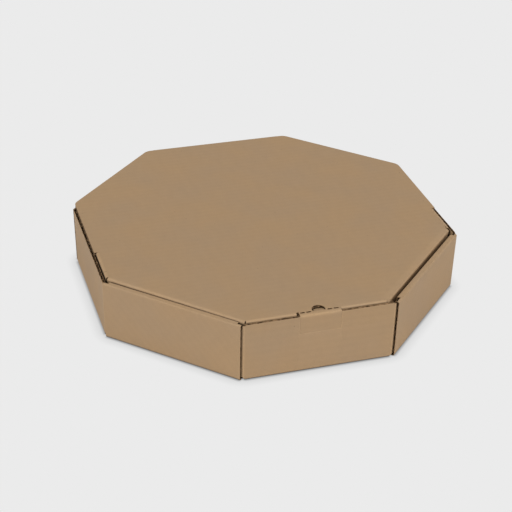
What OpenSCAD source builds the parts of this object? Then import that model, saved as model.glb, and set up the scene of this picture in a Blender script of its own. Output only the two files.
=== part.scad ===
// Octagonal food box with a hinged lid, folded from one sheet of kraft corrugated board.
// Millimetres. Origin at the centre of the underside, +Z up, the front wall faces -Y.
// Walls are numbered anticlockwise from the left wall, 1. The front wall is 3 and the back wall is 7.
// The odd walls are the four main ones, and the even walls are the diagonals between them.

/* [Box] */
// Distance across the main walls, outside
across = 305; // [250:1:360]
// Length of each main wall
main_side = 129; // [115:1:145]
// Height of the walls
wall_h = 51; // [44:1:70]
// How far the back wall stands above the others, to carry the lid's crease
back_extra = 1; // [0.6:0.1:2]
// Thickness of the corrugated board
board = 2.4; // [2:0.1:3]
// Outer radius where a wall folds up from the floor
fold_r = 1.6; // [0.5:0.1:2]

/* [Rolled diagonal walls] */
// Radius along the top of a rolled wall
roll_r = 1.1; // [0.4:0.1:1.5]
// Gap between two layers of board that lie together
layer_gap = 0.2; // [0.1:0.05:0.5]
// Length of the dust tabs at the ends of the main walls
dust_len = 26; // [16:1:30]
// Width of a lock tab
lock_w = 20; // [10:1:24]
// Distance between the middles of the two lock tabs of a wall
lock_pitch = 40; // [30:1:46]
// Gap round a lock tab in its slot in the floor
lock_gap = 0.3; // [0.2:0.1:0.8]

/* [Lid] */
// Gap between the back wall and the rounded crease of the lid
hinge_gap = 0.3; // [0.2:0.05:0.5]
// Gap between the lid and the side walls that it comes down on
rest_gap = 0.15; // [0.1:0.05:0.3]
// How far the raw edges of the lid stand in from the side walls
side_inset = 0.9; // [0:0.1:2]
// How far the raw edges of the lid stand out over the rear diagonal walls
rear_overhang = 1; // [0:0.1:3]
// Radius of the rear corners of the lid
lid_corner_r = 8; // [2:0.5:12]
// Gap between the tucked flaps and the walls, at the fold
tuck_gap = 0.8; // [0.4:0.1:2]
// Gap between the ears and the side walls, at the fold
ear_gap = 1.8; // [0.8:0.1:3]
// Depth of the three tucked flaps, below the fold
flap_depth = 40; // [20:1:40]
// Depth of the two ears, below the fold
ear_depth = 32; // [16:1:36]
// Length of an ear along its side wall
ear_len = 41; // [30:1:60]
// Lean of the ears, in degrees
ear_lean = 3; // [0:0.5:8]
// Slant of the ends of the flaps and ears, in degrees
flap_taper = 14; // [8:1:20]
// Gap left at each end of a fold, at the front corners of the lid
corner_gap = 2.4; // [1.6:0.1:4]
// How far the edge of the lid is cut back behind its folds, where no fold covers it
corner_cut = 0.5; // [0.2:0.1:1]
// Width of the notch behind an ear
notch_w = 1.5; // [0.5:0.1:3]
// Radius of the corners of the flaps, ears and dust tabs
tip_r = 6; // [1:0.5:7]

/* [Lock strap] */
// Width of the strap and its tongue
strap_w = 33; // [22:1:50]
// How far the tongue reaches down from the top of the lid
tongue_drop = 16.5; // [10:0.5:24]
// How far the tongue lies back from the face of the front wall
strap_recess = 0.5; // [0:0.1:1]
// Gap round the tongue in the front wall
strap_gap = 0.4; // [0.3:0.1:1]
// Width of the slot in the fold of the lid, left of the strap
slot_left = 2; // [0.6:0.1:4]
// Width of the slot in the fold of the lid, right of the strap
slot_right = 0.8; // [0.6:0.1:4]
// Distance from the face of the front wall back to the perforated line
tear_back = 4.6; // [4:0.1:9]
// Length of a cut in the perforated line
tear_cut = 4; // [2:0.2:8]
// Length of board left between two cuts
tear_nick = 1.2; // [0.8:0.1:3]
// Width of a cut
tear_w = 0.5; // [0.3:0.1:0.8]
// Radius of the half-round cut in the middle of the perforated line, where a thumb presses the strap down
thumb_r = 5; // [3:0.1:8]

/* [Hidden] */
$fn = 48;
kraft = [0.64, 0.53, 0.42];
FRONT = 3;
RIGHT = 5;
BACK = 7;
ALL = [1 : 8];
MAIN = [1 : 2 : 7];
DIAGONAL = [2 : 2 : 8];
join = 0.5;       // how far one stretch of the sheet runs into the next
through = 1;      // how far a cutter reaches past the board
arc_steps = 6;    // straight steps in a rounded corner
bend_steps = 8;   // straight steps round a fold of the lid

diagonal_side = (across - main_side) / sqrt(2);
diagonal_dist = (across + main_side) / (2 * sqrt(2));
roll_w = 2 * board + layer_gap;
crease_back = (board + layer_gap) * sqrt(2);    // from a corner of the box to the crease of a dust tab
under_roll = wall_h - board;
in_lid = corner_cut + join;                     // how far a fold's section reaches back into the lid

hinge_y = across / 2 - board / 2;
hinge_z = wall_h + back_extra + hinge_gap + board / 2;
front_dist = across / 2 - board - tuck_gap;     // outer face of the front flap
tuck_dist = diagonal_dist - roll_w - tuck_gap;  // outer faces of the two diagonal flaps
ear_dist = across / 2 - board - ear_gap;        // outer faces of the ears
tongue_dist = across / 2 - strap_recess;        // outer face of the tongue
ear_front = tuck_dist * sqrt(2) - ear_dist;     // from the middle of a side to its front lid corner
notch_y = ear_len - ear_front;
lid_slope = atan((back_extra + hinge_gap - rest_gap) / (hinge_y - notch_y));
tongue_bottom = hinge_z + board / 2 - (hinge_y + tongue_dist) * tan(lid_slope) - tongue_drop;

function is_main(k) = k % 2 == 1;
function wall_angle(k) = 180 + 45 * (k - 1);
function wall_dist(k) = is_main(k) ? across / 2 : diagonal_dist;
function fold_dist(k) = k == FRONT ? front_dist : is_main(k) ? ear_dist : tuck_dist;

// Where two lines meet, each given by the angle of its normal and its distance from the centre
function meet(angle_a, dist_a, angle_b, dist_b) =
    [dist_a * sin(angle_b) - dist_b * sin(angle_a), dist_b * cos(angle_a) - dist_a * cos(angle_b)]
    / sin(angle_b - angle_a);

// Where the folds of the lid along walls k and k + 1 would meet, drawn in by a distance
function fold_corner(k, inset) =
    meet(wall_angle(k), fold_dist(k) - inset, wall_angle(k + 1), fold_dist(k + 1) - inset);

// The arc that replaces a corner of an outline
function corner_arc(before, corner, after, r) =
    let (a = (before - corner) / norm(before - corner))
    let (b = (after - corner) / norm(after - corner))
    let (half = acos(a * b) / 2)
    let (centre = corner + (a + b) / norm(a + b) * r / sin(half))
    let (spoke = corner + a * r / tan(half) - centre)
    let (turn = (cross(b, a) > 0 ? 1 : -1) * (180 - 2 * half))
    [for (i = [0 : arc_steps]) let (t = turn * i / arc_steps)
        centre + [spoke.x * cos(t) - spoke.y * sin(t), spoke.x * sin(t) + spoke.y * cos(t)]];

// An outline with a radius for each of its corners, where 0 leaves the corner sharp
function rounded(points, radii) =
    let (n = len(points))
    [for (i = [0 : n - 1])
        each (radii[i] == 0 ? [points[i]]
            : corner_arc(points[(i + n - 1) % n], points[i], points[(i + 1) % n], radii[i]))];

// A half outline and its mirror image across x = 0
function both_halves(half) = concat(half, [for (i = [len(half) - 1 : -1 : 0]) [-half[i].x, half[i].y]]);

// The outline of a flap that hangs from height 0, with slanted ends and rounded lower corners
function hanging(from, to, depth, slant_from, slant_to, r) =
    rounded([[from, 0], [from + depth * tan(slant_from), -depth],
        [to - depth * tan(slant_to), -depth], [to, 0]], [0, r, r, 0]);

// The lean that keeps the tip of a flap off its wall while the lid swings up round its crease
function swing_lean(depth, reach) = atan((sqrt(reach * reach + depth * depth) - reach) / flap_depth);

// Puts its children at wall k, a distance from the centre: x runs outwards, and y along the wall
module at_wall(k, dist) {
    rotate([0, 0, wall_angle(k)]) translate([dist, 0, 0]) children();
}

// Stands an outline up along a wall, and gives it a thickness outwards
module upright(thickness) {
    rotate([90, 0, 90]) linear_extrude(thickness) children();
}

// Runs a section, x outwards and y upwards, along a wall
module run_along(from, to) {
    translate([0, to, 0]) rotate([90, 0, 0]) linear_extrude(to - from) children();
}

// Section of a wall that folds up from the floor
module folded_section(h) {
    translate([-board - join, 0]) square([board + join - fold_r, board]);
    translate([-board, fold_r]) square([board, h - fold_r]);
    translate([-fold_r, fold_r]) circle(fold_r);
}

// Section of the top of a rolled wall, which goes up, over and down inside
module roll_section() {
    layer_h = board + join - roll_r;
    translate([roll_r - roll_w, under_roll]) square([roll_w - 2 * roll_r, board]);
    for (x = [-roll_w, -board]) translate([x, under_roll - join]) square([board, layer_h]);
    for (x = [roll_r - roll_w, -roll_r]) translate([x, wall_h - roll_r]) circle(roll_r);
}

module floor_panel() {
    corners = [for (k = ALL)
        meet(wall_angle(k), wall_dist(k) - fold_r, wall_angle(k + 1), wall_dist(k + 1) - fold_r)];
    difference() {
        linear_extrude(board) polygon(corners);
        for (k = DIAGONAL, y = [-lock_pitch / 2, lock_pitch / 2])
            at_wall(k, diagonal_dist - roll_w - lock_gap) translate([0, y - lock_w / 2 - lock_gap, -through])
                cube([board + 2 * lock_gap, lock_w + 2 * lock_gap, board + 2 * through]);
    }
}

module main_wall(k) {
    half = main_side / 2 - crease_back;
    at_wall(k, across / 2) run_along(-half, half) folded_section(k == BACK ? wall_h + back_extra : wall_h);
}

// A diagonal wall: its outer layer, the roll, and an inner panel whose tabs lock in the floor
module diagonal_wall(k) {
    half = diagonal_side / 2;
    inner_half = half - dust_len + board;
    at_wall(k, diagonal_dist) {
        run_along(-half, half) folded_section(wall_h - roll_r);
        run_along(-half, half) roll_section();
        translate([-roll_w, 0, under_roll]) upright(board)
            polygon(hanging(-inner_half, inner_half, under_roll - board, 2, 2, 1));
        for (y = [-lock_pitch / 2, lock_pitch / 2]) translate([-roll_w, y - lock_w / 2, layer_gap])
            cube([board, lock_w, board + join]);
    }
}

// The dust tab of a main wall, tucked in behind the outer layer of diagonal wall k at one of its ends.
// Its lower edge slants at 45 degrees, because the flat sheet has no more room there.
module dust_tab(k, near_end) {
    near = diagonal_side / 2 + board + layer_gap;
    far = near - dust_len;
    top = under_roll - join - layer_gap;
    bottom = board + layer_gap;
    at_wall(k, diagonal_dist) mirror([0, near_end ? 1 : 0, 0]) translate([-roll_w, 0, 0]) upright(board)
        polygon(rounded([[near, top], [far, top], [far, bottom + dust_len], [near, bottom]],
            [0, tip_r, tip_r / 2, 0]));
}

// The notch in the front wall that takes the tongue
module tongue_notch() {
    half = strap_w / 2 + strap_gap;
    at_wall(FRONT, across / 2) translate([-board - through, -half, tongue_bottom - strap_gap])
        cube([board + 2 * through, 2 * half, wall_h]);
}

module tray() {
    color(kraft) difference() {
        union() {
            floor_panel();
            for (k = MAIN) main_wall(k);
            for (k = DIAGONAL) diagonal_wall(k);
            for (k = DIAGONAL, near_end = [false, true]) dust_tab(k, near_end);
        }
        tongue_notch();
    }
}

// Section of an edge of the lid: it reaches back into the lid, turns down and leans in
module edge_section(reach, lean, depth) {
    bend = [for (i = [0 : bend_steps]) let (a = 90 - (90 + lean) * i / bend_steps) board * [cos(a), sin(a)]];
    down = -depth * [sin(lean), cos(lean)];
    polygon(concat([[-reach, 0], [-reach, board]], bend, [bend[bend_steps] + down, down, [0, 0]]));
}

// An edge of the lid that turns down along wall k, with slanted ends and rounded lower corners
module folded_edge(k, dist, from, to, depth, reach, lean, slant_from, slant_to, r) {
    top = board + through;
    at_wall(k, dist - board) intersection() {
        run_along(from - through, to + through) edge_section(reach, lean, depth + through);
        translate([-depth, 0, top]) upright(depth + top)
            polygon(hanging(from, to, depth + top, slant_from, slant_to, r));
    }
}

module lid_panel() {
    raw_x = across / 2 - side_inset;
    rear_dist = diagonal_dist + rear_overhang;
    rear_corner = meet(wall_angle(6), rear_dist, wall_angle(BACK), hinge_y);
    nose_half = rear_corner.x - lid_corner_r * tan(22.5);
    cut_in = board + corner_cut;
    half = [fold_corner(3, cut_in), fold_corner(4, cut_in), [ear_dist - cut_in, notch_y], [raw_x, notch_y],
        meet(wall_angle(RIGHT), raw_x, wall_angle(6), rear_dist), rear_corner];
    radii = [0, 0, 0, 0, lid_corner_r, lid_corner_r];
    linear_extrude(board)
        polygon(rounded(both_halves(half), concat(radii, [for (i = [len(radii) - 1 : -1 : 0]) radii[i]])));
    translate([-nose_half, hinge_y, board / 2]) rotate([0, 90, 0]) cylinder(d = board, h = 2 * nose_half);
}

// The front flap, with the window that the strap was cut from
module front_flap() {
    half = fold_corner(3, 0).x - corner_gap;
    lean = swing_lean(hinge_z - wall_h + flap_depth, hinge_y + front_dist);
    window_from = -strap_w / 2 - slot_left;
    window_w = slot_left + strap_w + slot_right;
    window_depth = tongue_drop - board + tongue_dist - front_dist;
    difference() {
        folded_edge(FRONT, front_dist, -half, half, flap_depth, in_lid, lean, flap_taper, flap_taper, tip_r);
        at_wall(FRONT, front_dist - flap_depth) translate([0, window_from, -window_depth])
            cube([flap_depth + through, window_w, window_depth + board + through]);
    }
}

module diagonal_flap(k) {
    half = norm(fold_corner(k, 0) - fold_corner(k - 1, 0)) / 2 - corner_gap;
    lean = swing_lean(hinge_z - wall_h + flap_depth, hinge_y + ear_front);
    folded_edge(k, tuck_dist, -half, half, flap_depth, in_lid, lean, flap_taper, flap_taper, tip_r);
}

// The ear at the front of the right side
module ear() {
    from = corner_gap - ear_front;
    to = notch_y - notch_w;
    folded_edge(RIGHT, ear_dist, from, to, ear_depth, in_lid, ear_lean, flap_taper, flap_taper / 2, tip_r);
}

// The strap goes on from the lid over the front wall, and its tongue turns down into the notch
module strap() {
    reach = tongue_dist - front_dist + in_lid;
    folded_edge(FRONT, tongue_dist, -strap_w / 2, strap_w / 2, tongue_drop - board, reach, 0, 0, 0, 1);
}

// The cuts of the perforated line, and the half-round cut in its middle, whose board stays on the strap
module tear_line() {
    tear_y = tear_back - across / 2;
    step = tear_cut + tear_nick;
    count = floor((strap_w / 2 - thumb_r) / step);
    tall = board + 2 * through;
    for (side = [-1, 1], i = [0 : count - 1])
        translate([side * (thumb_r + step / 2 + tear_nick / 2 + i * step), tear_y, board / 2])
            cube([tear_cut, tear_w, tall], center = true);
    translate([0, tear_y, -through]) linear_extrude(tall) intersection() {
        difference() {
            circle(thumb_r);
            circle(thumb_r - tear_w);
        }
        translate([-thumb_r, 0]) square(2 * thumb_r);
    }
}

module lid() {
    color(kraft) translate([0, hinge_y, hinge_z]) rotate([lid_slope, 0, 0])
        translate([0, -hinge_y, -board / 2]) {
            difference() {
                union() {
                    lid_panel();
                    strap();
                }
                tear_line();
            }
            front_flap();
            for (k = [2, 4]) diagonal_flap(k);
            for (x = [0, 1]) mirror([x, 0, 0]) ear();
        }
}

tray();
lid();
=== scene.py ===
import math
import bpy
import bmesh
from mathutils import Matrix, Vector
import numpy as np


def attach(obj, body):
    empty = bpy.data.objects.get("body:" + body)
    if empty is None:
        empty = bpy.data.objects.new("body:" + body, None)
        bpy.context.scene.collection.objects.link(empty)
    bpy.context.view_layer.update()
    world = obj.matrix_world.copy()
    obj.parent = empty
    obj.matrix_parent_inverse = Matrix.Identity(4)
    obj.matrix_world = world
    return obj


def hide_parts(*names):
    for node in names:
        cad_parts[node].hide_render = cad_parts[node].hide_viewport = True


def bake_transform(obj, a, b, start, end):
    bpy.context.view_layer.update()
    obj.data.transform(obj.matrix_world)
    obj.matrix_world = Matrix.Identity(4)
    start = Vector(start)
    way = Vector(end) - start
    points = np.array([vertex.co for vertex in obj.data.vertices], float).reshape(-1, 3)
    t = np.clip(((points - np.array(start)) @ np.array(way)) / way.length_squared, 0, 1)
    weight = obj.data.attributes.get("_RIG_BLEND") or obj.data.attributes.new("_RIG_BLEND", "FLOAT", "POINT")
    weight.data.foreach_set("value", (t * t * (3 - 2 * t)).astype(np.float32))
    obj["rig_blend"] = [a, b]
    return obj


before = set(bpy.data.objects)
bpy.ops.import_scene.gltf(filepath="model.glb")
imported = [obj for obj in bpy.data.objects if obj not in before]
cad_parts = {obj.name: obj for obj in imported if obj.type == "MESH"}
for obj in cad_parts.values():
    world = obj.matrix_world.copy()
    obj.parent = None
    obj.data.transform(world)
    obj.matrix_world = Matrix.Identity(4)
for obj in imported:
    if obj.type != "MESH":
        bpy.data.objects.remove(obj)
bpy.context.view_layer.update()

# Boards are modelled flat in millimetres, the way they are die cut, then folded and brought to metres.
# Walls are numbered anticlockwise from the left one, 1. The front wall is 3 and the back wall is 7.
# A board for a wall is drawn with x outwards from the middle of the box and y along the wall.
mm = 0.001
board = {
    "thick": 2.4,           # liner to liner
    "liner": 0.3,           # one sheet of kraft liner
    "medium": 0.25,         # the wavy sheet between the liners
    "pitch": 6.3,           # from one flute to the next
    "waveSteps": 10,        # straight steps in one wave
    "recess": 0.12,         # how far the flutes end behind the liners at a cut
    "bendInner": 0.1,       # inner radius of a crease
    "bendZone": 0.5,        # width of sheet that goes into a right-angle crease
    "bendSteps": 6,
    "overlap": 0.02,        # how far the flutes run into the liners
    "mapShift": (371, 113), # how far a seed moves a board's map, in millimetres and flutes
    "rolled": 2.5,          # radians: a board bent further than this has two corners
    "smooth": 34.0,         # degrees: flatter edges than this are shaded smooth
}
beyond = 99.0               # reach of a cutter on a side where it cuts everything off
spare = 9.0                 # reach of a cutter past the edge or face of a board
box = {
    "across": 305.0,
    "mainSide": 129.0,
    "wallHeight": 51.0,
    "backExtra": 1.0,
    "flare": 0.006,         # how much narrower the foot of the tray is than its top
    "footRadius": 1.6,      # where a wall turns up from the floor
    "rollRadius": 1.1,      # along the top of the rolled diagonal walls
    "layerGap": 0.2,
    "hingeGap": 0.3,
    "restGap": 0.15,
}
box["diagonalDist"] = (box["across"] + box["mainSide"]) / (2 * math.sqrt(2))
box["diagonalHalf"] = (box["across"] - box["mainSide"]) / math.sqrt(2) / 2
pivot = board["thick"] + board["bendInner"]     # from the outer face of a folded board to its bend axis
halfTurn = 180
eighthTurn = 45             # between two walls


def report(stage):
    print("scene:", stage)


# helpers: selection, solids and cuts

def pickOnly(*objects):
    bpy.ops.object.select_all(action="DESELECT")
    for obj in objects:
        obj.select_set(True)
    bpy.context.view_layer.objects.active = objects[0]


def slab(name, low, high):
    bpy.ops.object.select_all(action="DESELECT")
    centre = [(a + b) / 2 for a, b in zip(low, high)]
    bpy.ops.mesh.primitive_cube_add(size=1, location=centre, scale=[b - a for a, b in zip(low, high)])
    obj = bpy.context.object
    obj.name = name
    bpy.ops.object.transform_apply(location=True, rotation=True, scale=True)
    return obj


def punch(name, low, high):
    # a slab that goes right through a flat board
    return slab(name, (*low, -1), (*high, spare))


def disc(name, centre, radius, low, high, steps=40):
    bpy.ops.object.select_all(action="DESELECT")
    bpy.ops.mesh.primitive_cylinder_add(vertices=steps, radius=radius, depth=high - low,
                                        location=(centre[0], centre[1], (low + high) / 2))
    obj = bpy.context.object
    obj.name = name
    bpy.ops.object.transform_apply(location=True, rotation=True, scale=True)
    return obj


def turned(obj, degrees, centre=(0, 0, 0), axis="Z"):
    turn = Matrix.Translation(centre) @ Matrix.Rotation(math.radians(degrees), 4, axis)
    obj.data.transform(turn @ Matrix.Translation([-c for c in centre]))
    return obj


def combine(obj, other, operation, keep=False):
    pickOnly(obj)
    step = obj.modifiers.new("combine", "BOOLEAN")
    step.operation = operation
    step.solver = "EXACT"
    step.object = other
    bpy.ops.object.modifier_apply(modifier=step.name)
    if not keep:
        bpy.data.objects.remove(other)
    return obj


def bisected(obj, point, normal, clear=False):
    pickOnly(obj)
    bpy.ops.object.mode_set(mode="EDIT")
    bpy.ops.mesh.select_all(action="SELECT")
    bpy.ops.mesh.bisect(plane_co=point, plane_no=normal, clear_outer=clear, use_fill=clear, threshold=1e-5)
    bpy.ops.object.mode_set(mode="OBJECT")
    return obj


def roundCorners(obj, places, size, steps=5):
    # rounds the upright edges of a board that stand within half a millimetre of the places
    pickOnly(obj)
    bpy.ops.object.mode_set(mode="EDIT")
    bpy.ops.mesh.select_all(action="DESELECT")
    edit = bmesh.from_edit_mesh(obj.data)
    for edge in edit.edges:
        a, b = (v.co for v in edge.verts)
        upright = abs(a.z - b.z) > 0.05 and (a - b).xy.length < 1e-3
        edge.select = upright and any((a.xy - Vector(p)).length < 0.5 for p in places)
    bmesh.update_edit_mesh(obj.data)
    bpy.ops.mesh.bevel(offset=size, segments=steps, affect="EDGES")
    bpy.ops.object.mode_set(mode="OBJECT")
    return obj


def joined(parts, name):
    pickOnly(*parts)
    bpy.ops.object.join()
    parts[0].name = name
    parts[0].data.name = name
    return parts[0]


def facing(wall):
    return halfTurn + eighthTurn * (wall - 1)


def outward(wall):
    a = math.radians(facing(wall))
    return Vector((math.cos(a), math.sin(a)))


def alongWall(wall):
    out = outward(wall)
    return Vector((-out.y, out.x))


def meeting(wallA, distA, wallB, distB):
    # the point where lines along two walls cross, each at its distance from the middle
    a, b = outward(wallA), outward(wallB)
    return Vector((distA * b.y - distB * a.y, distB * a.x - distA * b.x)) / a.cross(b)


# materials

def linear(colour):
    parts = [int(colour[i:i + 2], 16) / 255 for i in (1, 3, 5)]
    return [c / 12.92 if c <= 0.04045 else ((c + 0.055) / 1.055) ** 2.4 for c in parts] + [1]


def node(tree, kind, settings=None, links=None):
    made = tree.nodes.new(kind)
    for key, value in (settings or {}).items():
        if isinstance(key, int) or key in made.inputs:
            made.inputs[key].default_value = value
        else:
            setattr(made, key, value)
    for key, source in (links or {}).items():
        tree.links.new(source, made.inputs[key])
    return made


def reckoned(tree, operation, source, *numbers):
    settings = {"operation": operation, **{i + 1: number for i, number in enumerate(numbers)}}
    return node(tree, "ShaderNodeMath", settings, {0: source}).outputs[0]


def noise(tree, size, detail, roughness, place):
    settings = {"Scale": perMetre(size), "Detail": detail, "Roughness": roughness}
    return node(tree, "ShaderNodeTexNoise", settings, {"Vector": place}).outputs[0]


def swing(tree, source, centre, amount):
    # how far a pattern lifts or lowers the brightness
    return reckoned(tree, "MULTIPLY_ADD", source, amount, -centre * amount)


def total(tree, *sources):
    made = sources[0]
    for source in sources[1:]:
        made = node(tree, "ShaderNodeMath", {"operation": "ADD"}, {0: made, 1: source}).outputs[0]
    return made


def perMetre(size):
    return 1 / (size * mm)


paintedShade = {
    "reach": 4.0,           # millimetres: painted shade darkens the liner in gaps and corners narrower than this
    "deepest": 0.1,         # share of its colour that is left there
    "cutReach": 1.0,        # the same for cut edges
    "cutDeepest": 0.65,
    "openLow": 0.1,         # shares of open sky between which paper goes from dark to its own colour
    "openHigh": 0.8,
    # colour of the painted shade
    "dark": "#1c0d02",
}
liner = {
    "warm": "#a18462",
    "cool": "#9f8465",
    "clouds": 45.0,         # sizes of the patterns, in millimetres
    "mottle": 9.0,
    "fibre": 0.9,
    "fleck": 7.0,
    "grain": (1.6, 0.55, 1),    # fibres run across the flutes
    "fleckSize": 0.055,     # share of its cell that a speck fills
    "fleckRare": 0.9,       # share of the cells without a speck
    "cloudSwing": 0.04,     # how far each pattern changes the brightness
    "mottleSwing": 0.1,
    "fibreSwing": 0.2,
    "ribSwing": 0.01,
    "fleckSwing": -0.45,
    # lighter along folds: scuffed liner and painted highlight
    "scuffAndHighlightSwing": 0.16,
    "bump": 0.12,           # height of the relief, in millimetres
    "fibreRelief": 0.5,     # shares of the fibres and the flutes in it
    "ribRelief": 0.35,
}
kraftLiner = bpy.data.materials.new("kraftLiner")
cutPaper = bpy.data.materials.new("cutPaper")
flutePaper = bpy.data.materials.new("flutePaper")


def openness(tree, samples, reach):
    # 1 in the open and less in corners and gaps, with the reach in metres
    return node(tree, "ShaderNodeAmbientOcclusion", {"samples": samples, "Distance": reach}).outputs["AO"]


def shaded(tree, paint, reach, deepest):
    # painted shade: in gaps between boards and in corners, where little light reaches, the colour goes
    # nearly black
    sky = openness(tree, 8, reach * mm)
    span = {"From Min": paintedShade["openLow"], "From Max": paintedShade["openHigh"], "To Min": deepest}
    level = node(tree, "ShaderNodeMapRange", span, {"Value": sky})
    return node(tree, "ShaderNodeMixRGB", {"Color1": linear(paintedShade["dark"])},
                {"Fac": level.outputs[0], "Color2": paint}).outputs[0]


def finishLiner():
    # brown kraft liner: matt and a little cloudy, with the flutes just showing through and a few dark specks
    kraftLiner.use_nodes = True
    tree = kraftLiner.node_tree
    shader = tree.nodes["Principled BSDF"]
    place = node(tree, "ShaderNodeUVMap", {"uv_map": "blank"}).outputs[0]
    axes = node(tree, "ShaderNodeSeparateXYZ", links={0: place})
    stretch = {"operation": "MULTIPLY", 1: liner["grain"]}
    grain = node(tree, "ShaderNodeVectorMath", stretch, {0: place}).outputs[0]
    clouds = noise(tree, liner["clouds"], 2, 0.5, place)
    mottle = noise(tree, liner["mottle"], 4, 0.6, grain)
    fibre = noise(tree, liner["fibre"], 3, 0.7, grain)
    phase = reckoned(tree, "MULTIPLY", axes.outputs[1], 2 * math.pi * perMetre(board["pitch"]))
    ribs = reckoned(tree, "SINE", phase)
    cells = node(tree, "ShaderNodeTexVoronoi", {"Scale": perMetre(liner["fleck"])}, {"Vector": place})
    small = reckoned(tree, "LESS_THAN", cells.outputs["Distance"], liner["fleckSize"])
    lot = node(tree, "ShaderNodeSeparateColor", links={0: cells.outputs["Color"]}).outputs[0]
    rare = reckoned(tree, "GREATER_THAN", lot, liner["fleckRare"])
    speck = node(tree, "ShaderNodeMath", {"operation": "MULTIPLY"}, {0: small, 1: rare}).outputs[0]
    tone = node(tree, "ShaderNodeMapRange", {"From Min": 0.35, "From Max": 0.65}, {"Value": clouds})
    tones = {"data_type": "RGBA", 6: linear(liner["cool"]), 7: linear(liner["warm"])}
    tint = node(tree, "ShaderNodeMix", tones, {0: tone.outputs[0]}).outputs[2]
    # painted highlight along folds and on the notch rim, partly scuffed liner
    scuffAndHighlight = node(tree, "ShaderNodeAttribute", {"attribute_name": "crease"}).outputs["Fac"]
    bright = total(tree, swing(tree, clouds, 0.5, liner["cloudSwing"]),
                   swing(tree, mottle, 0.5, liner["mottleSwing"]),
                   swing(tree, fibre, 0.5, liner["fibreSwing"]),
                   swing(tree, ribs, 0, liner["ribSwing"]),
                   swing(tree, speck, 0, liner["fleckSwing"]),
                   swing(tree, scuffAndHighlight, 0, liner["scuffAndHighlightSwing"]))
    level = reckoned(tree, "ADD", bright, 1.0)
    paint = node(tree, "ShaderNodeVectorMath", {"operation": "SCALE"}, {0: tint, "Scale": level}).outputs[0]
    tree.links.new(shaded(tree, paint, paintedShade["reach"], paintedShade["deepest"]), shader.inputs["Base Color"])
    height = total(tree, swing(tree, fibre, 0.5, liner["fibreRelief"]),
                   swing(tree, ribs, 0, liner["ribRelief"]))
    relief = {"Strength": 0.25, "Distance": liner["bump"] * mm}
    bump = node(tree, "ShaderNodeBump", relief, {"Height": height}).outputs[0]
    tree.links.new(bump, shader.inputs["Normal"])
    shader.inputs["Roughness"].default_value = 0.7
    shader.inputs["Specular IOR Level"].default_value = 0.42


def finishCut(material, dark, light, size):
    # die-cut paper: torn fibres, blotchy, and darker than the liner, partly its own colour and partly
    # painted shade of the open flutes at a cut
    material.use_nodes = True
    tree = material.node_tree
    shader = tree.nodes["Principled BSDF"]
    place = node(tree, "ShaderNodeTexCoord").outputs["Object"]
    torn = noise(tree, size, 3, 0.6, place)
    ramp = node(tree, "ShaderNodeValToRGB", links={0: torn})
    ramp.color_ramp.elements[0].position = 0.38
    ramp.color_ramp.elements[0].color = linear(dark)
    ramp.color_ramp.elements[1].position = 0.62
    ramp.color_ramp.elements[1].color = linear(light)
    paint = shaded(tree, ramp.outputs[0], paintedShade["cutReach"], paintedShade["cutDeepest"])
    tree.links.new(paint, shader.inputs["Base Color"])
    shader.inputs["Roughness"].default_value = 0.95
    shader.inputs["Specular IOR Level"].default_value = 0.1


finishLiner()
# the dark ends of these ramps are partly painted shade: the flutes' near-black end stands in for their
# hollows
finishCut(cutPaper, "#59432c", "#a98a68", 1.8)
finishCut(flutePaper, "#2a1b0e", "#8f7253", 3.0)
report("materials ready")


# corrugated board: two liners with a wavy sheet between them

def waveSheet(low, high, fluteAngle):
    a = math.radians(fluteAngle)
    reach = math.dist(low, high) / 2 + board["pitch"]
    waves = math.ceil(2 * reach / board["pitch"])
    middle = Vector([(p + q) / 2 for p, q in zip(low, high)])
    start = round(middle.dot(Vector((-math.sin(a), math.cos(a)))) / board["pitch"]) * board["pitch"]
    along = middle.dot(Vector((math.cos(a), math.sin(a))))
    bpy.ops.object.select_all(action="DESELECT")
    bpy.ops.mesh.primitive_grid_add(x_subdivisions=1, y_subdivisions=waves * board["waveSteps"], size=1)
    sheet = bpy.context.object
    height = (board["thick"] - 2 * board["liner"] - board["medium"]) / 2 + board["overlap"]
    for v in sheet.data.vertices:
        x = v.co.x * 2 * reach + along
        y = v.co.y * waves * board["pitch"] + start
        z = board["thick"] / 2 + height * math.cos(2 * math.pi * y / board["pitch"])
        v.co = (x * math.cos(a) - y * math.sin(a), x * math.sin(a) + y * math.cos(a), z)
    pickOnly(sheet)
    thicken = sheet.modifiers.new("paper", "SOLIDIFY")
    thicken.thickness = board["medium"]
    thicken.offset = 0
    bpy.ops.object.modifier_apply(modifier=thicken.name)
    return sheet


def dressed(obj, fluteAngle=0, seed=0, waves=False):
    # liner on the flat faces and cut paper elsewhere, with a map in metres along and across the flutes. the
    # seed moves the map, so that the tray and the lid show different parts of the pattern
    mesh = obj.data
    mesh.materials.clear()
    for material in (kraftLiner, cutPaper, flutePaper):
        mesh.materials.append(material)
    for face in mesh.polygons:
        face.material_index = 2 if waves else int(abs(face.normal.z) < 0.5)
    while mesh.uv_layers:
        mesh.uv_layers.remove(mesh.uv_layers[0])
    spread = mesh.uv_layers.new(name="blank")
    a = math.radians(fluteAngle)
    along, across = board["mapShift"]
    for loop in mesh.loops:
        x, y, z = mesh.vertices[loop.vertex_index].co
        u = x * math.cos(a) + y * math.sin(a) + along * seed
        v = y * math.cos(a) - x * math.sin(a) + across * seed * board["pitch"]
        spread.data[loop.index].uv = (u * mm, v * mm)
    return obj


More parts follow.
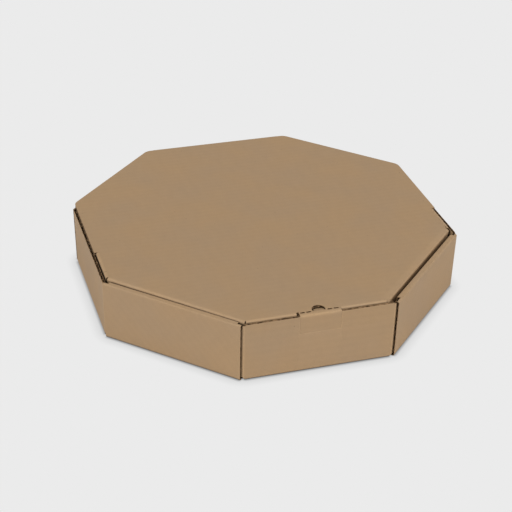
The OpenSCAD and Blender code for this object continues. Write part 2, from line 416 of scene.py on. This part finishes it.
def flatBoard(name, low, high, fluteAngle, cutters=(), trims=(), rounds=(), folds=(), seed=0, hollows=()):
    # trims are (point, outward normal), rounds are (places, size), folds are (point, normal, width, steps),
    # and hollows take only the flutes away
    lines = [(Vector(point) + Vector(normal) * width * i / steps, normal)
             for point, normal, width, steps in folds for i in range(steps + 1)]
    layers = []
    for z, tall, inset in ((0, board["liner"], 0), (board["thick"] - board["liner"], board["liner"], 0),
                           (-1, board["thick"] + 2, board["recess"])):
        layer = slab(name, (low[0] + inset, low[1] + inset, z), (high[0] - inset, high[1] - inset, z + tall))
        for point, normal in trims:
            there = Vector(point) - Vector(normal).normalized() * inset
            bisected(layer, (*there, 0), (*normal, 0), clear=True)
        for places, size in rounds:
            roundCorners(layer, places, size)
        if inset:
            layer = combine(waveSheet(low, high, fluteAngle), layer, "INTERSECT")
        for point, normal in lines:
            bisected(layer, (*point, 0), (*normal, 0))
        for cutter in (*cutters, *hollows) if inset else cutters:
            combine(layer, cutter, "DIFFERENCE", keep=True)
        layers.append(dressed(layer, fluteAngle, seed, waves=inset > 0))
    for cutter in (*cutters, *hollows):
        bpy.data.objects.remove(cutter)
    return joined(layers, name)


def cornerShape(phi, angle, radius):
    # how far a folded board's outer face reaches at an angle round its bend, with a corner of a radius
    part = angle / 2 if angle > board["rolled"] else angle
    half = part / 2
    away = abs(phi % part - half)
    flat = pivot - radius
    if away > half - math.atan(flat / pivot * math.tan(half)):
        return 1 / math.cos(half - away)
    centre = flat / math.cos(half)
    rest = max(radius ** 2 - (centre * math.sin(away)) ** 2, 0)
    return (centre * math.cos(away) + math.sqrt(rest)) / pivot


def bentAt(s, t, angle, zone, radius):
    # where a point s past a bend and t off its inner face goes; without a radius the bend is a soft curve
    phi = angle * min(s / zone, 1)
    a = max(s - zone, 0)
    inner = board["bendInner"] if radius else zone / angle
    b = t + inner
    if radius and s < zone:
        b *= 1 + (cornerShape(phi, angle, radius) - 1) * min(max(t / board["thick"], 0), 1)
    return a * math.cos(phi) + b * math.sin(phi), b * math.cos(phi) - a * math.sin(phi) - inner


def scuffAndHighlightMarks(obj):
    # painted lighter along a fold: partly scuffed liner, partly a painted highlight where the fold catches
    # the light
    layers = obj.data.attributes
    return (layers.get("crease") or layers.new("crease", "FLOAT", "POINT")).data


def fold(obj, crease, degrees, radius=None, out=(1, 0), zone=None, side=1):
    # bends what lies beyond the crease, a distance along out, towards the upper face for side 1
    zone = zone or board["bendZone"]
    face = board["thick"] if side == 1 else 0.0
    marks = scuffAndHighlightMarks(obj)
    for v in obj.data.vertices:
        s = v.co.x * out[0] + v.co.y * out[1] - crease
        if s < 1e-4:
            continue
        newS, newT = bentAt(s, side * (face - v.co.z), math.radians(degrees), zone, radius)
        v.co.x += (newS - s) * out[0]
        v.co.y += (newS - s) * out[1]
        v.co.z = face - side * newT
        # painted lighter across the bend: scuffed liner and painted highlight
        if radius and s < zone:
            marks[v.index].value = math.sin(math.pi * s / zone) * min(board["bendZone"] / zone, 1) ** 2
    return obj


# tray

tray = {
    "tabLength": 25.0,          # dust tabs at the ends of the main walls
    "tabCrease": 60.8,          # from the middle of a main wall to the crease of its tab
    "tabRadius": 0.8,
    "tabTurn": 50.0,
    "tabBack": 5.0,             # the tab bends back again to lie along the diagonal wall
    "tabSteps": 4,
    "bowStart": 3.0,            # where that second bend starts, past the crease, and its width
    "bowWidth": 6.0,
    "tabTop": 47.9,
    "tabFoot": 2.6,
    "nickHalf": 3.0,            # the diamond that takes the wall's top corners off, and its place
    "nickUp": 3.3,
    "nickOut": 0.2,
    "innerStart": 0.5,          # from the roll to where the inner panel begins to narrow
    "innerHalf": 38.6,          # half width of the inner panel of a rolled wall
    "innerTaper": 2.0,
    "innerCut": (40.0, 60.0),   # reach of the cutters beside that panel, past its end and sideways
    "lockCut": 80.0,            # and of those beside its lock tabs
    "lockWidth": 20.0,
    "lockPitch": 40.0,
    "lockEnd": 0.2,             # height of the lock tabs' ends
    "slotGap": 0.3,
    "crush": 0.55,              # how much thinner the raw ends of the diagonal walls are pressed
    "crushWidth": 9.0,
    "crushSteps": 5,
    "crushCurve": 1.5,
    "crushFade": 4.0,           # no crush above, where the wall is rolled over
    "rollEnds": {2: (4.0, 4.0), 4: (7.0, 3.0)},     # how far the rolled-in part ends from the two corners
    "rollShare": 0.42,          # share of the roll that runs right up to them
    "lap": 1.0,                 # how far two cuts run into each other
    "notchLeft": 16.6,          # in the front wall, for the tongue of the lid
    "notchRight": 17.3,
    "notchFoot": 35.38,
    "rim": 1.0,                 # width of the pressed rim of that notch
    "rimDeep": 0.3,
    "crushed": (0.6, 0.04),     # from how far below the top edge to how far the flutes are crushed shut
}
foot = pivot                    # height at which a wall's bend ends


def mainWall(name, height, fluteAngle, cutters=(), folds=()):
    crease = box["across"] / 2 - pivot
    zone = board["bendZone"]
    top = crease + zone + height - foot
    tabX = crease + zone + tray["tabTop"] - foot
    tabLow = crease + zone + tray["tabFoot"] - foot
    end = tray["tabCrease"]
    past = end + zone / 2
    reach = past + tray["tabLength"]
    bow = past + tray["bowStart"]
    nick = tray["nickHalf"]
    extra = []
    for way in (-1, 1):
        sides = sorted((way * past, way * beyond))
        extra.append(punch("above tab", (tabX, sides[0]), (top + spare, sides[1])))
        extra.append(punch("under tab", (crease - spare, sides[0]), (tabLow, sides[1])))
        sides = sorted((0, way * beyond))
        wedge = punch("tab slant", (tabLow - beyond, sides[0]), (tabLow, sides[1]))
        turned(wedge, way * eighthTurn, (tabLow, 0, 0))
        wedge.data.transform(Matrix.Translation((0, way * past, 0)))
        extra.append(wedge)
        corner = turned(punch("top corner", (-nick, -nick), (nick, nick)), eighthTurn)
        corner.data.transform(Matrix.Translation((top + tray["nickUp"], way * (past + tray["nickOut"]), 0)))
        extra.append(corner)
    lines = [((crease, 0), (1, 0), zone, board["bendSteps"]), *folds]
    for way in (-1, 1):
        lines.append(((0, way * end), (0, way), zone / 2, tray["tabSteps"]))
        lines.append(((0, way * bow), (0, way), tray["bowWidth"], tray["tabSteps"]))
    rawTop = fluteAngle == 90
    if rawTop:
        shut = slab("crushed edge", (top - tray["crushed"][0], -end, board["liner"]),
                    (top - tray["crushed"][1], end, board["thick"] - board["liner"]))
        for cutter in cutters:
            combine(shut, cutter, "DIFFERENCE", keep=True)
        dressed(shut, fluteAngle, 1, waves=True)
    wall = flatBoard(name, (crease, -reach), (top, reach), fluteAngle, [*extra, *cutters], folds=lines,
                     seed=1)
    if rawTop:
        wall = joined([wall, shut], name)
    for way in (-1, 1):
        fold(wall, bow, tray["tabBack"], out=(0, way), zone=tray["bowWidth"], side=-1)
        fold(wall, end, tray["tabTurn"], tray["tabRadius"], out=(0, way), zone=zone / 2)
    return wall


def raised(wall):
    return fold(wall, box["across"] / 2 - pivot, 90, box["footRadius"])


def diagonalWall(name, fluteAngle, rollEnds):
    crease = box["diagonalDist"] - pivot
    zone = board["bendZone"]
    rollZone = 2 * zone
    roll = crease + zone + box["wallHeight"] - 2 * pivot
    inner = roll + rollZone + tray["innerStart"]
    lock = roll + rollZone + box["wallHeight"] - pivot - board["thick"] - box["layerGap"]
    end = lock + board["thick"] + box["layerGap"] - tray["lockEnd"]
    half = box["diagonalHalf"]
    cutters = []
    for way in (-1, 1):
        sides = sorted((0, way * tray["innerCut"][1]))
        side = punch("beside inner panel", (inner, sides[0]), (end + tray["innerCut"][0], sides[1]))
        turned(side, -way * tray["innerTaper"], (inner, 0, 0))
        side.data.transform(Matrix.Translation((0, way * tray["innerHalf"], 0)))
        cutters.append(side)
        sides = sorted((way * (tray["lockPitch"] + tray["lockWidth"]) / 2, way * tray["lockCut"]))
        cutters.append(punch("beside lock tab", (lock, sides[0]), (end + spare, sides[1])))
    for way, short in zip((-1, 1), rollEnds):
        sides = sorted((way * (half - short), way * beyond))
        start = roll + tray["rollShare"] * rollZone
        cutters.append(punch("roll end", (start, sides[0]), (inner + tray["lap"], sides[1])))
    gap = (tray["lockPitch"] - tray["lockWidth"]) / 2
    cutters.append(punch("between lock tabs", (lock, -gap), (end + spare, gap)))
    wide, steps = tray["crushWidth"], tray["crushSteps"]
    folds = [((crease, 0), (1, 0), zone, board["bendSteps"]),
             ((roll - tray["crushFade"], 0), (1, 0), tray["crushFade"], 2),
             ((roll, 0), (1, 0), rollZone, 3 * board["bendSteps"]),
             ((0, half - wide), (0, 1), wide, steps), ((0, wide - half), (0, -1), wide, steps)]
    hidden = punch("inner panel", (inner, -half), (end + spare, half))
    wall = flatBoard(name, (crease, -half), (end, half), fluteAngle, cutters, folds=folds, seed=1,
                     hollows=[hidden])
    fold(wall, roll, halfTurn, box["rollRadius"], zone=rollZone)
    fold(wall, crease, 90, box["footRadius"])
    for v in wall.data.vertices:
        depth = box["diagonalDist"] - v.co.x
        near = max(1 - (half - abs(v.co.y)) / wide, 0)
        low = min(max((box["wallHeight"] - pivot - v.co.z) / tray["crushFade"], 0), 1)
        # only the outer layer
        if depth < board["thick"] + box["layerGap"] / 10:
            v.co.x += depth * tray["crush"] / board["thick"] * near ** tray["crushCurve"] * low
    return wall


def floorPanel():
    main = box["across"] / 2 - pivot
    trims = [(outward(k) * (box["diagonalDist"] - pivot), outward(k)) for k in (2, 4, 6, 8)]
    cutters = []
    for k in (2, 4, 6, 8):
        for y in (-tray["lockPitch"] / 2, tray["lockPitch"] / 2):
            gap = tray["slotGap"]
            far = box["diagonalDist"] - board["thick"] - box["layerGap"] + gap
            half = tray["lockWidth"] / 2 + gap
            slot = punch("floor slot", (far - board["thick"] - 2 * gap, y - half), (far, y + half))
            cutters.append(turned(slot, facing(k)))
    return flatBoard("floor", (-main, -main), (main, main), 0, cutters, trims=trims, seed=1)


def frontWall():
    low = box["across"] / 2 - pivot + board["bendZone"] + tray["notchFoot"] - foot
    left, right, rim = -tray["notchLeft"], tray["notchRight"], tray["rim"]
    notch = punch("tongue notch", (low, left), (low + beyond, right))
    lines = [((low - rim, 0), (1, 0), rim, 1), ((0, right), (0, 1), rim, 1), ((0, left), (0, -1), rim, 1)]
    wall = mainWall("frontWall", box["wallHeight"], 90, [notch], lines)
    marks = scuffAndHighlightMarks(wall)
    for v in wall.data.vertices:
        away = max(left - v.co.y, v.co.y - right, low - v.co.x, 0)
        if away < rim - 0.01:
            v.co.z += tray["rimDeep"] * (1 - away / rim) * (1 - v.co.z / board["thick"])
            # painted highlight: the pressed rim is made lighter in colour, on crushed liner
            marks[v.index].value = 1
    return wall


def copied(obj, name):
    pickOnly(obj)
    bpy.ops.object.duplicate()
    other = bpy.context.object
    other.name = name
    return other


def buildTray():
    parts = [floorPanel()]
    parts.append(turned(raised(frontWall()), 270))
    parts.append(turned(raised(mainWall("backWall", box["wallHeight"] + box["backExtra"], 90)), 90))
    side = raised(mainWall("rightWall", box["wallHeight"], 0))
    parts.append(turned(copied(side, "leftWall"), halfTurn))
    parts.append(side)
    for first, angle in ((2, 135), (4, 45)):
        wall = diagonalWall("diagonalWall%d" % first, angle, tray["rollEnds"][first])
        parts.append(turned(copied(wall, "diagonalWall%d" % (first + 4)), facing(first + 4)))
        parts.append(turned(wall, facing(first)))
    for part in parts:
        for v in part.data.vertices:
            share = 1 - box["flare"] * max(1 - v.co.z / box["wallHeight"], 0)
            v.co.x *= share
            v.co.y *= share
    return parts


# lid, drawn flat with its outer face up

lid = {
    "rearOverhang": 1.0,
    "rearRound": 8.0,
    "flapDepth": 40.0,
    "earDepth": 32.0,
    "earLean": 3.0,
    "taper": 14.0,
    "cornerGap": 0.8,       # from a front corner to the end of a fold
    "earNotch": 0.3,
    "earCut": 200.0,        # reach of the cutters beside the ears, from the middle of the box
    "tipRound": 6.0,
    "flapSteps": 8,
    "foldRadius": 1.5,      # outer radius of a fold, and of one that follows a soft bend
    "softRadius": 2.0,
    "strapLeft": 16.5,
    "strapRight": 17.2,
    "strapBend": 1.0,
    "strapRecess": 0.35,    # of the tongue behind the face of the front wall
    "tongueDrop": 16.3,
    "tongueRound": 1.0,
    "windowFoot": 2.7,      # how far the front flap is cut out below the tongue, and behind its fold
    "windowBack": 5.0,
    "slotLeft": 2.0,
    "slotRight": 0.15,
    "tearBack": 4.6,        # the perforated line, from the face of the front wall
    "tearCut": 4.0,
    "tearNick": 1.2,
    "tearWidth": 1.2,
    "thumbRadius": 5.4,
    "thumbSet": -1.6,       # how far the middle of the half-round cut lies in front of that line
    "thumbGap": 1.1,
    "thumbPress": 21.0,     # degrees that its board is pressed down
    "sag": 0.65,            # how much lower the front edge has sunk
    "sagLength": 130.0,
    "sagLines": (126.0, 9), # lines across the panel that let it sink: their reach and number
}
edges = {1: 148.8, 2: 147.9, 3: 149.3, 4: 145.4, 5: 149.3}      # outer faces of the folds, by wall
soft = {2: (2.5, 10.0), 3: (2.0, 5.0), 4: (4.0, 30.0)}          # soft bend before a fold: width and degrees
raw = {1: 150.4, 5: 151.1}                                      # raw edges of the two sides
notchY = -19.5                                                  # where they step in to the ears
hinge = {
    "y": box["across"] / 2 - board["thick"] / 2,
    "z": box["wallHeight"] + box["backExtra"] + box["hingeGap"] + board["thick"] / 2,
    "radius": board["thick"] / 2,
    "noseShort": 0.7,       # how far the lid's back edge ends before the creases of the back wall's tabs
    "skinShort": 0.5,       # and the two skins of the crease
    "blendReach": 0.6,
    "outerSteps": 12,
    "innerFrom": 256.0,     # degrees round the hinge at which the inner skin leaves the lid
    "innerSteps": 8,
    "mapStart": 300.0,      # where the skins lie in the map of the blank
}
rise = box["backExtra"] + box["hingeGap"] - box["restGap"]
slope = math.degrees(math.atan(rise / (hinge["y"] - notchY)))


def edgeCorner(wall):
    return meeting(wall, edges[wall], wall + 1, edges[wall + 1])


def swingLean(wall):
    # the tip of a tucked flap swings round the hinge, so it has to lean in to clear the wall
    reach = hinge["y"] - edgeCorner(3 if wall == 3 else 1).y
    depth = hinge["z"] - box["wallHeight"] + lid["flapDepth"]
    return math.degrees(math.atan((math.hypot(reach, depth) - reach) / lid["flapDepth"]))


def flap(wall, low, high, depth, lean, tapers, fluteAngle, cutters=()):
    crease = edges[wall] - pivot
    zone = board["bendZone"]
    tip = crease + zone + depth - board["bendInner"]
    trims, places = [], []
    for y, taper, way in ((low, tapers[0], -1), (high, tapers[1], 1)):
        a = math.radians(taper)
        trims.append(((crease, y), (math.sin(a), way * math.cos(a))))
        places.append((tip, y - way * (tip - crease) * math.tan(a)))
    folds = [((crease, 0), (1, 0), zone, board["bendSteps"]),
             ((0, low), (0, 1), high - low, lid["flapSteps"])]
    made = flatBoard("flap%d" % wall, (crease, low), (tip, high), fluteAngle, cutters, trims=trims,
                     rounds=[(places, lid["tipRound"])], folds=folds)
    width, degrees = soft.get(wall, (0, 0))
    radius = lid["softRadius"] if width else lid["foldRadius"]
    fold(made, crease, 90 + lean - degrees, radius, side=-1)
    if width:
        fold(made, crease - width, degrees, zone=width, side=-1)
    return turned(made, facing(wall))


def lidPanel():
    front = edges[3] - pivot
    rear = box["diagonalDist"] + lid["rearOverhang"]
    trims = [(outward(k) * (edges[k] - pivot), outward(k)) for k in (2, 4)]
    trims += [(outward(k) * rear, outward(k)) for k in (6, 8)]
    cutters = [thumbHole()]
    for k in (1, 5):
        sides = sorted((outward(k).x * (edges[k] - pivot), outward(k).x * lid["earCut"]))
        cutters.append(punch("beside ear", (sides[0], -lid["earCut"]), (sides[1], notchY)))
    places = [meeting(8, rear, 1, raw[1]), meeting(5, raw[5], 6, rear), meeting(6, rear, 7, hinge["y"]),
              meeting(7, hinge["y"], 8, rear)]
    folds = [(outward(k) * (edges[k] - pivot - soft[k][0]), outward(k), soft[k][0], 4) for k in soft]
    folds.append(((0, notchY), (0, -1), *lid["sagLines"]))
    for k in (2, 3):
        corner = edgeCorner(k)
        folds.append((corner, (corner.y, -corner.x), 0, 1))
    size = lid["rearRound"] * math.tan(math.radians(eighthTurn / 2))
    made = flatBoard("lidPanel", (-raw[1], -front), (raw[5], hinge["y"]), 0, cutters, trims=trims,
                     rounds=[(places, size)], folds=folds)
    for v in made.data.vertices:
        lowest = None
        for k, (width, degrees) in soft.items():
            s = v.co.xy.dot(outward(k)) - (edges[k] - pivot - width)
            if s <= 0:
                continue
            newS, newT = bentAt(s, v.co.z, math.radians(degrees), width, None)
            if lowest is None or newT < lowest[0]:
                lowest = (newT, (newS - s) * outward(k))
        if lowest:
            v.co.xy += lowest[1]
            v.co.z = lowest[0]
    return made


def thumbHole():
    line = lid["tearBack"] - box["across"] / 2
    hole = disc("thumb cut", (0, line - lid["thumbSet"]), lid["thumbRadius"], -1, spare)
    return bisected(hole, (0, line, 0), (0, -1, 0), clear=True)


def thumbTab():
    line = lid["tearBack"] - box["across"] / 2
    radius = lid["thumbRadius"] - lid["thumbGap"]
    made = disc("thumbTab", (0, line - lid["thumbSet"]), radius, 0, board["thick"])
    dressed(bisected(made, (0, line, 0), (0, -1, 0), clear=True))
    return turned(made, -lid["thumbPress"], (0, line, board["thick"]), axis="X")


def strap():
    root = edges[3] - pivot
    crease = box["across"] / 2 - lid["strapRecess"] - pivot
    zone = board["bendZone"]
    tip = crease + zone + lid["tongueDrop"] - board["thick"] - board["bendInner"]
    left, right = -lid["strapLeft"], lid["strapRight"]
    line = box["across"] / 2 - lid["tearBack"]
    step = lid["tearCut"] + lid["tearNick"]
    cutters = [turned(thumbHole(), 90)]
    for way in (-1, 1):
        for i in range(int((right - lid["thumbRadius"]) / step)):
            y = way * (lid["thumbRadius"] + step / 2 + lid["tearNick"] / 2 + i * step)
            cutters.append(punch("tear cut", (line - lid["tearWidth"] / 2, y - lid["tearCut"] / 2),
                                  (line + lid["tearWidth"] / 2, y + lid["tearCut"] / 2)))
    made = flatBoard("strap", (root, left), (tip, right), 90, cutters,
                     rounds=[([(tip, left), (tip, right)], lid["tongueRound"])],
                     folds=[((crease, 0), (1, 0), zone, board["bendSteps"])])
    made = joined([made, turned(thumbTab(), 90)], "strap")
    width, degrees = soft[3]
    fold(made, crease, 90 - degrees, lid["strapBend"], side=-1)
    fold(made, root - width, degrees, zone=width, side=-1)
    return turned(made, 270)


def frontFlap():
    crease = edges[3] - pivot
    deep = crease + board["bendZone"] + lid["tongueDrop"] - board["thick"] + lid["windowFoot"]
    window = punch("window", (crease - lid["windowBack"], -lid["strapLeft"] - lid["slotLeft"]),
                    (deep, lid["strapRight"] + lid["slotRight"]))
    ends = (edgeCorner(2).x + lid["cornerGap"], edgeCorner(3).x - lid["cornerGap"])
    return flap(3, *ends, lid["flapDepth"], swingLean(3), (lid["taper"], lid["taper"]), 90, [window])


def diagonalFlap(wall, fluteAngle):
    along = alongWall(wall)
    low = edgeCorner(wall - 1).dot(along) + lid["cornerGap"]
    high = edgeCorner(wall).dot(along) - lid["cornerGap"]
    return flap(wall, low, high, lid["flapDepth"], swingLean(wall), (lid["taper"], lid["taper"]), fluteAngle)


def ear(wall):
    corner = edgeCorner(1 if wall == 1 else 4).dot(alongWall(wall))
    notch = notchY * alongWall(wall).y
    if wall == 1:
        return flap(1, notch + lid["earNotch"], corner - lid["cornerGap"], lid["earDepth"], lid["earLean"],
                    (lid["taper"] / 2, lid["taper"]), 0)
    return flap(5, corner + lid["cornerGap"], notch - lid["earNotch"], lid["earDepth"], lid["earLean"],
                (lid["taper"], lid["taper"] / 2), 0)


def nose():
    # the rounded back edge of the lid, inside the crease
    half = tray["tabCrease"] - hinge["noseShort"]
    made = dressed(disc("nose", (0, 0), hinge["radius"] - board["liner"], -half, half, steps=32))
    turned(made, 90, axis="Y")
    made.data.transform(Matrix.Translation((0, hinge["y"], hinge["radius"])))
    return made


def buildLid():
    parts = [lidPanel(), frontFlap(), strap(), diagonalFlap(2, 135), diagonalFlap(4, 45), ear(1), ear(5),
             nose()]
    for part in parts:
        for v in part.data.vertices:
            v.co.z -= lid["sag"] * (max(notchY - v.co.y, 0) / lid["sagLength"]) ** 2
    return parts


def finished(obj, matrix=Matrix.Identity(4)):
    obj.data.transform(Matrix.Scale(mm, 4) @ matrix)
    pickOnly(obj)
    bpy.ops.object.shade_smooth_by_angle(angle=math.radians(board["smooth"]))
    return obj


trayPiece = finished(joined(buildTray(), "trayBoard"))
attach(trayPiece, "tray")
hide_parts("tray")
report("tray folded, %d faces" % len(trayPiece.data.polygons))

seat = (Matrix.Translation((0, hinge["y"], hinge["z"])) @ Matrix.Rotation(math.radians(slope), 4, "X")
        @ Matrix.Translation((0, -hinge["y"], -board["thick"] / 2)))
lidPiece = finished(joined(buildLid(), "lidBoard"), seat)
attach(lidPiece, "lid")
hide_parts("lid")
report("lid folded, %d faces" % len(lidPiece.data.polygons))


# crease between the back wall and the lid: the two liners run on from the wall to the lid

def creaseSkin(name, path, start, end):
    # the path runs from the lid to the wall. the skin moves with the tray at start, with the lid at end, and
    # blends between them
    half = tray["tabCrease"] - hinge["skinShort"]
    bpy.ops.object.select_all(action="DESELECT")
    bpy.ops.mesh.primitive_grid_add(x_subdivisions=1, y_subdivisions=len(path) - 1, size=1)
    skin = bpy.context.object
    skin.name = name
    lengths = [0]
    for a, b in zip(path, path[1:]):
        lengths.append(lengths[-1] + math.dist(a, b))
    flat = {}
    for i, v in enumerate(sorted(skin.data.vertices, key=lambda v: (round(v.co.y, 4), v.co.x))):
        step, way = divmod(i, 2)
        x = half * (2 * way - 1)
        flat[v.index] = (x * mm, (lengths[step] + hinge["mapStart"]) * mm)
        v.co = (x, *path[step])
    skin.data.materials.append(kraftLiner)
    skin.data.materials.append(cutPaper)
    spread = skin.data.uv_layers[0]
    spread.name = "blank"
    for loop in skin.data.loops:
        spread.data[loop.index].uv = flat[loop.vertex_index]
    pickOnly(skin)
    thicken = skin.modifiers.new("liner", "SOLIDIFY")
    thicken.thickness = board["liner"]
    thicken.offset = -1
    thicken.material_offset_rim = 1
    bpy.ops.object.modifier_apply(modifier=thicken.name)
    finished(skin)
    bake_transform(skin, "tray", "lid", [c * mm for c in start], [c * mm for c in end])
    return skin


def aroundHinge(degrees, radius):
    a = math.radians(degrees)
    return (hinge["y"] + radius * math.cos(a), hinge["z"] + radius * math.sin(a))


reach = hinge["blendReach"]
steps = hinge["outerSteps"]
outer = [aroundHinge(90 - 90 * i / steps, hinge["radius"]) for i in range(steps + 1)]
outer += [(box["across"] / 2, hinge["z"] - reach), (box["across"] / 2, box["wallHeight"] + box["backExtra"])]
wallSide = (0, hinge["y"] + reach, hinge["z"] - reach)
lidSide = (0, hinge["y"] - reach, hinge["z"] + reach)
creaseSkin("creaseOuter", outer, wallSide, lidSide)
wallTop = (box["across"] / 2 - board["thick"], box["wallHeight"] + box["backExtra"])
far = math.dist(wallTop, (hinge["y"], hinge["z"]))
turn = math.degrees(math.atan2(wallTop[1] - hinge["z"], wallTop[0] - hinge["y"])) % 360
start = hinge["innerFrom"]
steps = hinge["innerSteps"]
span = far - hinge["radius"]
inner = [aroundHinge(start + (turn - start) * i / steps, hinge["radius"] + span * i / steps)
         for i in range(steps + 1)]
creaseSkin("creaseInner", inner, (0, *inner[-1]), (0, *inner[0]))
report("crease skins ready")


# stage, light and camera

studio = {
    "floor": "#ebebeb",     # as the camera sees it
    "floorPaint": "#e4e4e4",    # as it throws light back on the box
    "skyLight": 0.38,
    "lamps": {"keyLeft": (1.85, -62), "keyRight": (1.66, 58)},      # strength and azimuth
    "lampTilt": 55.0,
    "lampSpread": 60.0,
    "contact": 0.0025,      # metres: the dark line where the box stands
    "contactShade": 0.1,
    "near": 0.011,          # metres: the faint shade round it
    "nearShade": 0.6,
}
view = {
    "place": (-0.317, -0.9912, 0.6252),     # metres: front left, about a metre away and 30 degrees up
    "turn": (59.666, -1.03, -16.845),
    "lens": 97.337,
    "sensor": 36,
}


def buildStage():
    bpy.ops.object.select_all(action="DESELECT")
    bpy.ops.mesh.primitive_plane_add(size=12, location=(0, 0, 0))
    floor = bpy.context.object
    floor.name = "studioFloor"
    paint = bpy.data.materials.new("studioFloor")
    paint.use_nodes = True
    tree = paint.node_tree
    shader = tree.nodes["Principled BSDF"]
    shader.inputs["Base Color"].default_value = linear(studio["floorPaint"])
    shader.inputs["Roughness"].default_value = 1
    shader.inputs["Specular IOR Level"].default_value = 0
    # painted shade: the camera sees an even pale floor, darkened only tightly round what stands on it in
    # place of a cast shadow
    wide = openness(tree, 16, studio["near"])
    tight = openness(tree, 16, studio["contact"])
    first = node(tree, "ShaderNodeMapRange", {"To Min": studio["nearShade"]}, {"Value": wide})
    second = node(tree, "ShaderNodeMapRange", {"To Min": studio["contactShade"]}, {"Value": tight})
    both = {0: first.outputs[0], 1: second.outputs[0]}
    shade = node(tree, "ShaderNodeMath", {"operation": "MULTIPLY"}, both).outputs[0]
    glow = node(tree, "ShaderNodeEmission", {"Color": linear(studio["floor"])}, {"Strength": shade})
    rays = node(tree, "ShaderNodeLightPath").outputs["Is Camera Ray"]
    mix = node(tree, "ShaderNodeMixShader", links={0: rays, 1: shader.outputs[0], 2: glow.outputs[0]})
    tree.links.new(mix.outputs[0], tree.nodes["Material Output"].inputs["Surface"])
    floor.data.materials.append(paint)

    world = bpy.data.worlds.new("studio")
    bpy.context.scene.world = world
    world.use_nodes = True
    tree = world.node_tree
    tree.nodes.clear()
    rays = node(tree, "ShaderNodeLightPath").outputs["Is Camera Ray"]
    seen = node(tree, "ShaderNodeBackground", {"Color": linear(studio["floor"]), "Strength": 1})
    light = node(tree, "ShaderNodeBackground", {"Color": (1, 1, 1, 1), "Strength": studio["skyLight"]})
    mix = node(tree, "ShaderNodeMixShader", links={0: rays, 1: light.outputs[0], 2: seen.outputs[0]})
    node(tree, "ShaderNodeOutputWorld", links={"Surface": mix.outputs[0]})

    for name, (strength, azimuth) in studio["lamps"].items():
        lamp = bpy.data.lights.new(name, "SUN")
        lamp.energy = strength
        lamp.angle = math.radians(studio["lampSpread"])
        obj = bpy.data.objects.new(name, lamp)
        bpy.context.scene.collection.objects.link(obj)
        obj.rotation_euler = (math.radians(studio["lampTilt"]), 0, math.radians(azimuth))


def buildCamera():
    lens = bpy.data.cameras.new("camera")
    lens.sensor_width = view["sensor"]
    lens.lens = view["lens"]
    lens.clip_end = 100
    camera = bpy.data.objects.new("camera", lens)
    camera.location = view["place"]
    camera.rotation_euler = [math.radians(a) for a in view["turn"]]
    bpy.context.scene.collection.objects.link(camera)
    bpy.context.scene.camera = camera
    bpy.context.scene.view_settings.view_transform = "Standard"


buildStage()
buildCamera()
report("stage, light and camera ready")
